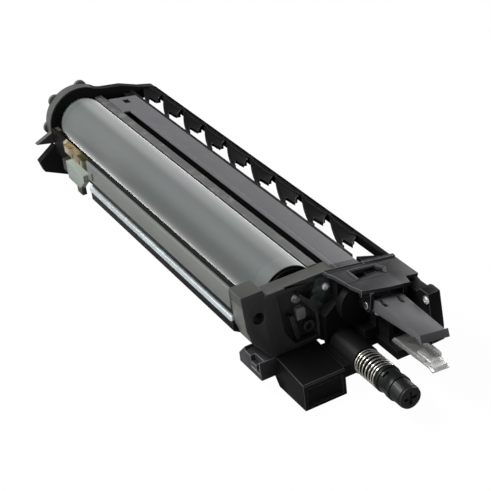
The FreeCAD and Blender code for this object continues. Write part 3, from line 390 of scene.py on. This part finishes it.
def contact_tint(paint, base):
    """The contacts go from cream at their far end over brown to olive, which is painted shade."""
    cream, olive = (0.86, 0.79, 0.66), (0.10, 0.085, 0.025)
    low, high = corners("brass_contact")
    along = paint.axis("X") + (paint.noise(3 * MM, detail=4.0) - 0.5) * (12 * MM)
    base = paint.mix(paint.until(along, low.x + 6 * MM, low.x + 12 * MM), base, cream)
    # Painted shade: olive for brass in shade.
    return paint.mix(paint.past(along, high.x - 24 * MM, high.x - 12 * MM), base, olive)


FINISHES = {}


def finish(word):
    """The finish of that name, mixed the first time that it is asked for."""
    if word in FINISHES:
        return FINISHES[word]
    tones = bpy.context.scene.drum_colours
    black, grey = tuple(tones.black_plastic), tuple(tones.grey_plastic)
    even = (1.0, 1.0, 1.0)
    recipes = {
        "black_plastic": lambda: moulded(word, black, 0.50, level=0.09),
        "grey_plastic": lambda: moulded(word, grey, 0.50, dust=0.7),
        "cover_plastic": lambda: moulded(word, shade(grey, 1.08), 0.50, dust=0.9, tint=cover_painted_shade),
        "rail_plastic": lambda: moulded(word, shade(black, 0.7), 0.56, level=0.03),
        "ring_plastic": lambda: moulded(word, black, 0.50, level=0.09, tint=ring_painted_light),
        "plate_plastic": lambda: moulded(word, shade(grey, 0.50), 0.46, dust=0.8, tint=plate_painted_light),
        # Painted light: the raised rims on the deck are painted a lighter grey than the deck around them.
        "rim_painted_light_plastic": lambda: moulded(word, shade(grey, 0.54), 0.46, dust=0.8),
        "deck_plastic": lambda: moulded(word, shade(grey, 0.36), 0.50, level=0.12, dust=0.8, tint=deck_painted_shade_and_tone),
        "foot_plastic": lambda: moulded(word, shade(grey, 0.28), 0.46, dust=0.8),
        # Painted highlight: lighter copies of the grey and the black plastic for rounded edges.
        "grey_painted_edge_highlight": lambda: moulded(word, shade(grey, 1.7), 0.40),
        "black_painted_edge_highlight": lambda: moulded(word, shade(black, 8.0), 0.36),
        "lever_plastic": lambda: moulded(word, shade(grey, 0.95), 0.50, grain=0.3 * MM, tint=lever_painted_hole_shade),
        "pale_panel": lambda: moulded(word, tuple(tones.side_panel), 0.42, grain=0.8 * MM, depth=0.015 * MM),
        "flange_plastic": lambda: moulded(word, shade(black, 0.9), 0.38),
        "sleeve_plastic": lambda: moulded(word, (0.0075, 0.0085, 0.0080), 0.40),
        "cap_plastic": lambda: moulded(word, (0.013, 0.0135, 0.0135), 0.42),
        "gear_plastic": lambda: moulded(word, (0.60, 0.59, 0.54), 0.36, level=0.5, dust=0.3),
        "holder_plastic": lambda: moulded(word, (0.24, 0.27, 0.24), 0.45, tint=holder_tint),
        "window_plastic": lambda: moulded(word, (0.30, 0.30, 0.29), 0.40),
        "drum_coating": lambda: drum_coating(word, tuple(tones.drum)),
        "bright_aluminium": lambda: metal(word, tuple(tones.side_rail), 0.50, dull=0.05, fine=0.6 * MM),
        "shaft_steel": lambda: metal(word, (0.60, 0.60, 0.61), 0.26, streak=(1.0, 30.0, 30.0)),
        "plated_steel": lambda: metal(word, (0.235, 0.235, 0.232), 0.46),
        "screw_steel": lambda: metal(word, (0.93, 0.94, 0.93), 0.36, streak=even, dull=0.05),
        "spring_steel": lambda: metal(
            word, (0.60, 0.58, 0.53), 0.24, streak=even, dull=0.3, stain=(0.30, 0.27, 0.22)),
        "tab_metal": lambda: metal(word, (0.05, 0.06, 0.062), 0.45),
        "tongue_metal": lambda: metal(word, (0.80, 0.80, 0.79), 0.52),
        "brass": lambda: metal(
            word, (0.50, 0.38, 0.20), 0.40, stain=(0.10, 0.07, 0.03), dull=0.8, tint=contact_tint),
        "bronze_bush": lambda: metal(word, (0.42, 0.31, 0.18), 0.42, stain=(0.08, 0.06, 0.04), dull=0.5),
        "roller_rubber": lambda: soft(word, (0.035, 0.035, 0.036), depth=0.02 * MM, roughness=0.62),
        "blade_rubber": lambda: soft(word, (0.26, 0.19, 0.11), depth=0.01 * MM, roughness=0.5),
        "felt": lambda: soft(word, (0.055, 0.040, 0.030)),
    }
    FINISHES[word] = recipes[word]()
    return FINISHES[word]


# Pieces


def dress(*nodes):
    """Gives CAD nodes whose shape is right the finish of their slot."""
    for name in nodes:
        mesh = frame["nodes"][name].data
        mesh.materials.clear()
        mesh.materials.append(finish(FINISH_OF[name]))


def new_object(name, data):
    item = bpy.data.objects.new(name, data)
    bpy.context.scene.collection.objects.link(item)
    return item


def settle(piece):
    """Turns a piece with live modifiers into a plain mesh at the origin."""
    seen = piece.evaluated_get(bpy.context.evaluated_depsgraph_get())
    mesh = bpy.data.meshes.new_from_object(seen)
    piece.modifiers.clear()
    piece.data = mesh


def stand_for(piece, node):
    """The finished piece stands for a CAD node and rides on its body."""
    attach(piece, BODY_OF[node])
    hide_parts(node)
    return piece


def rounded(node, width):
    """A merged copy of a CAD node with its edges rounded as a mould leaves them."""
    merge_distance, flat_angle, edge_angle = 2e-6, math.radians(0.6), math.radians(34.0)
    shell = bmesh.new()
    shell.from_mesh(frame["nodes"][node].data)
    bmesh.ops.remove_doubles(shell, verts=shell.verts, dist=merge_distance)
    bmesh.ops.dissolve_limit(shell, angle_limit=flat_angle, verts=shell.verts, edges=shell.edges)
    mesh = bpy.data.meshes.new(node + "_moulding")
    shell.to_mesh(mesh)
    shell.free()
    mesh.materials.clear()
    mesh.materials.append(finish(FINISH_OF[node]))
    mesh.polygons.foreach_set("use_smooth", [True] * len(mesh.polygons))
    mesh.polygons.foreach_set("material_index", [0] * len(mesh.polygons))
    piece = new_object(node + "_moulding", mesh)
    soften = piece.modifiers.new("Edges", "BEVEL")
    soften.width = width
    soften.segments = 2
    soften.limit_method = "ANGLE"
    soften.angle_limit = edge_angle
    soften.use_clamp_overlap = True
    soften.harden_normals = True
    # Painted highlight: the rounded edges take a lighter copy of the finish.
    if FINISH_OF[node] in EDGE_HIGHLIGHT_OF:
        mesh.materials.append(finish(EDGE_HIGHLIGHT_OF[FINISH_OF[node]]))
        soften.material = 1
    settle(piece)
    stand_for(piece, node)


def closed_rings(rows):
    """Corner numbers of the faces between rings of points, where the last ring joins the first."""
    count, faces = len(rows[0]), []
    for row, here in enumerate(rows):
        there = rows[(row + 1) % len(rows)]
        for i in range(count):
            j = (i + 1) % count
            faces.append((here[i], here[j], there[j], there[i]))
    return faces


def lathe(name, node, profile, centre, around):
    """A turned piece about the X axis through centre; profile is a closed line of (x, radius)."""
    smooth_angle = math.radians(40)
    turned = bmesh.new()
    rows = []
    for step in range(around):
        angle = 2 * math.pi * step / around
        across, up = math.cos(angle), math.sin(angle)
        rows.append([turned.verts.new((x, centre.y + r * across, centre.z + r * up)) for x, r in profile])
    for face in closed_rings(rows):
        turned.faces.new(face)
    bmesh.ops.recalc_face_normals(turned, faces=turned.faces)
    mesh = bpy.data.meshes.new(name)
    turned.to_mesh(mesh)
    turned.free()
    mesh.polygons.foreach_set("use_smooth", [True] * len(mesh.polygons))
    mesh.set_sharp_from_angle(angle=smooth_angle)
    mesh.materials.append(finish(FINISH_OF[node]))
    stand_for(new_object(name, mesh), node)


def chamfered(x0, x1, inner, outer, cut):
    """Closed profile of a ring with its four corners taken off."""
    return [
        (x0, inner + cut), (x0 + cut, inner), (x1 - cut, inner), (x1, inner + cut),
        (x1, outer - cut), (x1 - cut, outer), (x0 + cut, outer), (x0, outer - cut)]


def raised_rim(name, node, outline, inner, outer, height):
    """Low rim on the tilted deck: the outline, scaled by inner and by outer, raised by height in mm."""
    sunk, count = -0.2, len(outline)
    centre = [sum(point[i] for point in outline) / count for i in (0, 1)]
    place = Matrix.Translation(rim_centre() + DECK_ORIGIN) @ Matrix.Rotation(DECK_TILT, 4, "X")
    points = []
    for share, level in ((inner, sunk), (outer, sunk), (outer, height), (inner, height)):
        for x, y in outline:
            spot = Vector((centre[0] + (x - centre[0]) * share, centre[1] + (y - centre[1]) * share, level))
            points.append(place @ (spot * MM))
    rows = [range(start, start + count) for start in range(0, len(points), count)]
    mesh = bpy.data.meshes.new(name)
    mesh.from_pydata(points, [], closed_rings(rows))
    # Painted light: the rim takes a lighter grey than the deck.
    mesh.materials.append(finish("rim_painted_light_plastic"))
    piece = new_object(name, mesh)
    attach(piece, BODY_OF[node])


# Geometry Nodes


class Growth:
    """A Geometry Nodes tree under way, with named inputs for its sizes."""

    def __init__(self, name, **sizes):
        self.tree = bpy.data.node_groups.new(name, "GeometryNodeTree")
        face = self.tree.interface
        face.new_socket("Geometry", in_out="INPUT", socket_type="NodeSocketGeometry")
        self.keys = {}
        for word, value in sizes.items():
            self.keys[word] = face.new_socket(
                word.replace("_", " "), in_out="INPUT", socket_type="NodeSocketFloat")
            self.keys[word].default_value = value
        face.new_socket("Geometry", in_out="OUTPUT", socket_type="NodeSocketGeometry")
        self.start = self.tree.nodes.new("NodeGroupInput")
        self.sizes = sizes

    def given(self, word):
        return self.start.outputs[word.replace("_", " ")]

    def node(self, kind, settings=None, inputs=None, out=0):
        return add_node(self.tree, kind, settings, inputs, out)

    def math(self, operation, first, second):
        return self.node("ShaderNodeMath", {"operation": operation}, {0: first, 1: second})

    def shift(self, geometry, z):
        up = self.node("ShaderNodeCombineXYZ", {}, {2: z})
        return self.node("GeometryNodeTransform", {}, {"Geometry": geometry, "Translation": up})

    def grow(self, name, geometry, node, seeds=None):
        """Ends the tree and turns it into the plain mesh of a piece that stands for a CAD node."""
        solid = self.node("GeometryNodeRealizeInstances", {}, {0: geometry})
        coated = self.node("GeometryNodeSetMaterial", {}, {
            "Geometry": solid, "Material": finish(FINISH_OF[node])})
        self.tree.links.new(coated, self.tree.nodes.new("NodeGroupOutput").inputs[0])
        piece = new_object(name, seeds or bpy.data.meshes.new(name))
        growth = piece.modifiers.new("Growth", "NODES")
        growth.node_group = self.tree
        for word, value in self.sizes.items():
            growth[self.keys[word].identifier] = value
        settle(piece)
        return stand_for(piece, node)


def coil_spring(name, node, wire, turns):
    """Round wire spring along X, with its end turns drawn close together."""
    around_coil, around_wire, closing = 48, 10, 0.45
    low, high = corners(node)
    centre = (low + high) / 2
    growth = Growth("Coil spring", Turns=float(turns), Coil_radius=(high.z - low.z) / 2 - wire,
                    Wire_radius=wire, Length=high.x - low.x - 2 * wire)
    radius, length = growth.given("Coil_radius"), growth.given("Length")
    spiral = growth.node("GeometryNodeCurveSpiral", {}, {
        "Resolution": around_coil, "Rotations": growth.given("Turns"), "Start Radius": radius,
        "End Radius": radius, "Height": length})
    height = growth.node("ShaderNodeSeparateXYZ", {}, {0: growth.node("GeometryNodeInputPosition")}, out=2)
    along = growth.math("DIVIDE", height, length)
    eased = growth.node("ShaderNodeMapRange", {"interpolation_type": "SMOOTHSTEP"}, {"Value": along})
    move = growth.math("MULTIPLY", growth.math("SUBTRACT", eased, along), closing)
    move = growth.node("ShaderNodeCombineXYZ", {}, {2: growth.math("MULTIPLY", move, length)})
    spread = growth.node("GeometryNodeSetPosition", {}, {"Geometry": spiral, "Offset": move})
    ring = growth.node("GeometryNodeCurvePrimitiveCircle", {}, {
        "Resolution": around_wire, "Radius": growth.given("Wire_radius")})
    wound = growth.node("GeometryNodeCurveToMesh", {}, {
        "Curve": spread, "Profile Curve": ring, "Fill Caps": True})
    smooth = growth.node("GeometryNodeSetShadeSmooth", {}, {"Geometry": wound})
    laid = growth.node("GeometryNodeTransform", {}, {
        "Geometry": smooth, "Rotation": (0.0, math.pi / 2, 0.0),
        "Translation": (low.x + wire, centre.y, centre.z)})
    return growth.grow(name, laid, node)


def screw_heads(name, node, seats, head, tall):
    """Pan heads with a cross recess, one on each seat; a seat is (place, way the head points)."""
    around, dome_share = 48, 1.75
    mesh = bpy.data.meshes.new(name)
    mesh.from_pydata([tuple(place) for place, _ in seats], [], [])
    turn = mesh.attributes.new("turn", "FLOAT_VECTOR", "POINT")
    for i, (_, way) in enumerate(seats):
        turn.data[i].vector = Vector(way).to_track_quat("Z", "Y").to_euler()
    growth = Growth("Screw heads", Head_radius=head, Head_height=tall, Recess_width=0.9 * MM,
                    Recess_length=3.6 * MM, Recess_depth=1.0 * MM)
    wide, high = growth.given("Head_radius"), growth.given("Head_height")
    barrel = growth.node("GeometryNodeMeshCylinder", {"fill_type": "NGON"}, {
        "Vertices": around, "Radius": wide, "Depth": high})
    barrel = growth.shift(barrel, growth.math("MULTIPLY", high, 0.5))
    dome = growth.math("MULTIPLY", wide, dome_share)
    ball = growth.node("GeometryNodeMeshUVSphere", {}, {
        "Segments": around, "Rings": around // 2, "Radius": dome})
    ball = growth.shift(ball, growth.math("SUBTRACT", high, dome))
    pan = growth.node("GeometryNodeMeshBoolean", {"operation": "INTERSECT", "solver": "EXACT"}, {1: barrel})
    growth.tree.links.new(ball, pan.node.inputs[1])
    length, width = growth.given("Recess_length"), growth.given("Recess_width")
    deep = growth.math("MULTIPLY", growth.given("Recess_depth"), 2.0)
    cut = growth.node("GeometryNodeMeshBoolean", {"operation": "DIFFERENCE", "solver": "EXACT"}, {0: pan})
    for x, y in ((length, width), (width, length)):
        size = growth.node("ShaderNodeCombineXYZ", {}, {0: x, 1: y, 2: deep})
        block = growth.node("GeometryNodeMeshCube", {}, {"Size": size})
        growth.tree.links.new(growth.shift(block, high), cut.node.inputs[1])
    spin = growth.node("GeometryNodeInputNamedAttribute", {"data_type": "FLOAT_VECTOR"}, {"Name": "turn"})
    spin = growth.node("FunctionNodeEulerToRotation", {}, {0: spin})
    points = growth.node("GeometryNodeInstanceOnPoints", {}, {
        "Points": growth.given("Geometry"), "Instance": cut, "Rotation": spin})
    growth.grow(name, points, node, mesh)


# Sizes and colours


class DrumSizes(bpy.types.PropertyGroup):
    edge: bpy.props.FloatProperty(
        name="Edge rounding", description="Radius that the mould leaves on large edges",
        default=0.35 * MM, min=0.05 * MM, max=1.0 * MM, unit="LENGTH", precision=5)
    fine_edge: bpy.props.FloatProperty(
        name="Fine edge rounding", description="Radius on thin ribs and sheet metal",
        default=0.15 * MM, min=0.02 * MM, max=0.5 * MM, unit="LENGTH", precision=5)
    wire: bpy.props.FloatProperty(
        name="Spring wire radius", description="Radius of the shutter spring's wire",
        default=0.68 * MM, min=0.2 * MM, max=0.7 * MM, unit="LENGTH", precision=5)
    turns: bpy.props.IntProperty(
        name="Spring turns", description="Turns of the shutter spring", default=8, min=3, max=16)
    screw_head: bpy.props.FloatProperty(
        name="Screw head radius", description="Radius of a pan head",
        default=2.95 * MM, min=1.0 * MM, max=3.0 * MM, unit="LENGTH", precision=5)
    screw_height: bpy.props.FloatProperty(
        name="Screw head height", description="Height of a pan head above its seat",
        default=1.75 * MM, min=0.5 * MM, max=1.8 * MM, unit="LENGTH", precision=5)


class DrumColours(bpy.types.PropertyGroup):
    black_plastic: bpy.props.FloatVectorProperty(
        name="Black plastic", description="Frame, housings, box and guide rail", subtype="COLOR",
        default=(0.0055, 0.0055, 0.0060), min=0.0, max=1.0)
    grey_plastic: bpy.props.FloatVectorProperty(
        name="Grey plastic", description="Top cover, deck, end plate and lever", subtype="COLOR",
        default=(0.100, 0.100, 0.107), min=0.0, max=1.0)
    side_panel: bpy.props.FloatVectorProperty(
        name="Side panel", description="Pale panel on the left wall", subtype="COLOR",
        default=(0.146, 0.155, 0.144), min=0.0, max=1.0)
    side_rail: bpy.props.FloatVectorProperty(
        name="Side rail", description="Bright strip along the left wall", subtype="COLOR",
        default=(0.80, 0.87, 0.89), min=0.0, max=1.0)
    drum: bpy.props.FloatVectorProperty(
        name="Drum", description="Photoconductor layer", subtype="COLOR",
        default=(0.106, 0.117, 0.115), min=0.0, max=1.0)


# Operators


class DRUM_OT_housings(bpy.types.Operator):
    """Rounds and finishes the moulded frame, covers, plates and housings"""
    bl_idname = "drum_unit.housings"
    bl_label = "Frame, covers and housings"

    def execute(self, context):
        sizes = context.scene.drum_sizes
        for node in ("main_frame", "front_plate", "front_housing", "front_deck", "right_cheek", "front_box",
                     "corner_foot", "rear_housing", "rear_plate", "top_cover", "rear_foot", "grip_lever"):
            rounded(node, sizes.edge)
        for node in ("guide_rail", "left_side_cover", "window_tab", "contact_holder"):
            rounded(node, sizes.fine_edge)
        raised_rim("deck_opening_rim", "front_deck", DECK_OPENING, inner=1.0, outer=1.13, height=0.5)
        raised_rim("deck_ridge", "front_deck", DECK_RIDGE, inner=0.1, outer=1.0, height=0.7)
        return {"FINISHED"}


class DRUM_OT_drum(bpy.types.Operator):
    """Turns the drum tube and the charge roller, and finishes what sits round them"""
    bl_idname = "drum_unit.drum"
    bl_label = "Drum and charge roller"

    def execute(self, context):
        wall, drum_chamfer, roller_chamfer = 0.8 * MM, 0.15 * MM, 0.4 * MM
        low, high = corners("drum_tube")
        outer = (high.z - low.z) / 2
        lathe("photoconductor_drum", "drum_tube", chamfered(low.x, high.x, outer - wall, outer, drum_chamfer),
              middle("drum_tube"), around=192)
        low, high = corners("charge_roller_rubber")
        outer = (high.z - low.z) / 2
        lathe("charge_roller_cover", "charge_roller_rubber",
              chamfered(low.x, high.x, outer / 2, outer, roller_chamfer), middle("charge_roller_rubber"),
              around=72)
        dress("drum_front_flange", "front_bushing", "drum_shaft", "drum_gear", "auger_gear", "auger_screw",
              "charge_roller_core", "charge_bearing_front", "charge_bearing_rear", "cleaning_blade",
              "drum_seal_front", "drum_seal_rear")
        return {"FINISHED"}


class DRUM_OT_outlet(bpy.types.Operator):
    """Makes the waste toner outlet: pipe, spring, sliding sleeve and cap"""
    bl_idname = "drum_unit.outlet"
    bl_label = "Toner outlet"

    def execute(self, context):
        sizes = context.scene.drum_sizes
        spring = coil_spring("shutter_coil", "shutter_spring", sizes.wire, sizes.turns)
        low, high = corners("shutter_spring")
        slide = [joint for joint in frame["joints"] if joint["name"] == "shutter_slide"][0]
        stroke = max(abs(end) for end in slide["range_m"])
        1.0 - stroke / (high.x - low.x)
        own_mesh(spring)
        for node in ("waste_pipe", "shutter_sleeve", "pipe_cap"):
            rounded(node, sizes.fine_edge)
        return {"FINISHED"}


class DRUM_OT_metalwork(bpy.types.Operator):
    """Finishes the strips, tabs, tongue, contacts and pins"""
    bl_idname = "drum_unit.metalwork"
    bl_label = "Metalwork"

    def execute(self, context):
        sizes = context.scene.drum_sizes
        for node in ("side_rail", "blade_bracket", "latch_tongue", "ground_tab", "brass_contact",
                     "lever_pin"):
            rounded(node, sizes.fine_edge)
        return {"FINISHED"}


class DRUM_OT_screws(bpy.types.Operator):
    """Puts a cross recessed pan head on each screw's seat"""
    bl_idname = "drum_unit.screws"
    bl_label = "Screws"

    def execute(self, context):
        sizes = context.scene.drum_sizes
        rim = rim_centre()
        for node, places in SCREW_SEATS.items():
            seats = [(rim + Vector(place) * MM, way) for place, way in places]
            name = node.replace("_", "_pan_head_", 1)
            screw_heads(name, node, seats, sizes.screw_head, sizes.screw_height)
        return {"FINISHED"}


# Stage


def lamp(name, place, target, width, power):
    light = bpy.data.lights.new(name, "AREA")
    light.shape = "RECTANGLE"
    light.size, light.size_y = width
    light.energy = power
    item = new_object(name, light)
    item.location = place
    item.rotation_euler = (Vector(target) - Vector(place)).to_track_quat("-Z", "Y").to_euler()


def seen_directly(tree, mirrored):
    """One for rays that come straight from the camera, and the given share for mirrors."""
    camera = add_node(tree, "ShaderNodeLightPath", out="Is Camera Ray")
    share = add_node(tree, "ShaderNodeMath", {"operation": "MULTIPLY"}, {
        0: camera.node.outputs["Is Glossy Ray"], 1: mirrored})
    return add_node(tree, "ShaderNodeMath", {"operation": "MAXIMUM"}, {0: camera, 1: share})


def blend(tree, factor, first, second, output):
    """Mixes two shaders and ends the tree with its output node."""
    mixed = add_node(tree, "ShaderNodeMixShader", {}, {0: factor, 1: first, 2: second})
    tree.links.new(mixed, tree.nodes.new(output).inputs[0])


class DRUM_OT_stage(bpy.types.Operator):
    """Makes the floor, the lamps, the white surroundings and the camera"""
    bl_idname = "drum_unit.stage"
    bl_label = "Stage"

    def execute(self, context):
        scene = context.scene
        self.floor()
        self.surroundings(scene)
        for name, (place, target, width, power) in LAMPS.items():
            lamp(name, place, target, width, power)
        self.camera(scene)
        scene.view_settings.view_transform = "Standard"
        return {"FINISHED"}

    def floor(self):
        """A wide floor that the camera sees as white paper and that keeps a faint shadow."""
        side = 6.0
        mesh = bpy.data.meshes.new("floor")
        mesh.from_pydata([(-side, -side, 0), (side, -side, 0), (side, side, 0), (-side, side, 0)], [],
                         [(0, 1, 2, 3)])
        item = new_object("floor", mesh)
        paper = bpy.data.materials.new("floor_paper")
        paper.use_nodes = True
        tree = paper.node_tree
        tree.nodes.clear()
        matt = add_node(tree, "ShaderNodeBsdfDiffuse", {}, {"Color": (*[PAPER_GREY] * 3, 1.0)})
        glow = add_node(tree, "ShaderNodeEmission", {}, {"Strength": PAPER_GLOW})
        share = add_node(tree, "ShaderNodeMath", {"operation": "MULTIPLY"}, {
            0: seen_directly(tree, 0.0), 1: PAPER_WHITE})
        blend(tree, share, matt, glow, "ShaderNodeOutputMaterial")
        mesh.materials.append(paper)

    def surroundings(self, scene):
        """White for the camera, part of that in mirrors, and a weak soft light for the rest."""
        world = bpy.data.worlds.new("surroundings")
        scene.world = world
        world.use_nodes = True
        tree = world.node_tree
        tree.nodes.clear()
        soft_light = add_node(tree, "ShaderNodeBackground", {}, {"Strength": SOFT_LIGHT})
        white = add_node(tree, "ShaderNodeBackground", {}, {"Color": (1.0, 1.0, 1.0, 1.0)})
        blend(tree, seen_directly(tree, MIRRORED_WHITE), soft_light, white, "ShaderNodeOutputWorld")

    def camera(self, scene):
        """The camera of the photograph."""
        lens = bpy.data.cameras.new("camera")
        lens.sensor_width = SENSOR
        lens.lens = SENSOR * FOCAL_PIXELS / PHOTO_PIXELS
        back = CAMERA_RIGHT.cross(CAMERA_UP)
        turn = Matrix((CAMERA_RIGHT, CAMERA_UP, back)).transposed().to_4x4()
        eye = new_object("camera", lens)
        eye.matrix_world = Matrix.Translation(rim_centre() + CAMERA_PLACE) @ turn
        scene.camera = eye


class DRUM_PT_panel(bpy.types.Panel):
    bl_idname = "DRUM_PT_panel"
    bl_label = "Printer drum unit"
    bl_space_type = "VIEW_3D"
    bl_region_type = "UI"
    bl_category = "Drum Unit"

    def draw(self, context):
        for group in (context.scene.drum_sizes, context.scene.drum_colours):
            for word in group.__annotations__:
                self.layout.prop(group, word)
        for step in STEPS:
            self.layout.operator(step.bl_idname)


STEPS = (
    DRUM_OT_housings, DRUM_OT_drum, DRUM_OT_outlet, DRUM_OT_metalwork, DRUM_OT_screws, DRUM_OT_stage)
CLASSES = (DrumSizes, DrumColours, *STEPS, DRUM_PT_panel)


def register():
    for item in CLASSES:
        bpy.utils.register_class(item)
    bpy.types.Scene.drum_sizes = bpy.props.PointerProperty(type=DrumSizes)
    bpy.types.Scene.drum_colours = bpy.props.PointerProperty(type=DrumColours)


def unregister():
    del bpy.types.Scene.drum_sizes
    del bpy.types.Scene.drum_colours
    for item in reversed(CLASSES):
        bpy.utils.unregister_class(item)


def main():
    register()
    for step in STEPS:
        group, word = step.bl_idname.split(".")
        getattr(getattr(bpy.ops, group), word)()


if __name__ == "__main__":
    main()
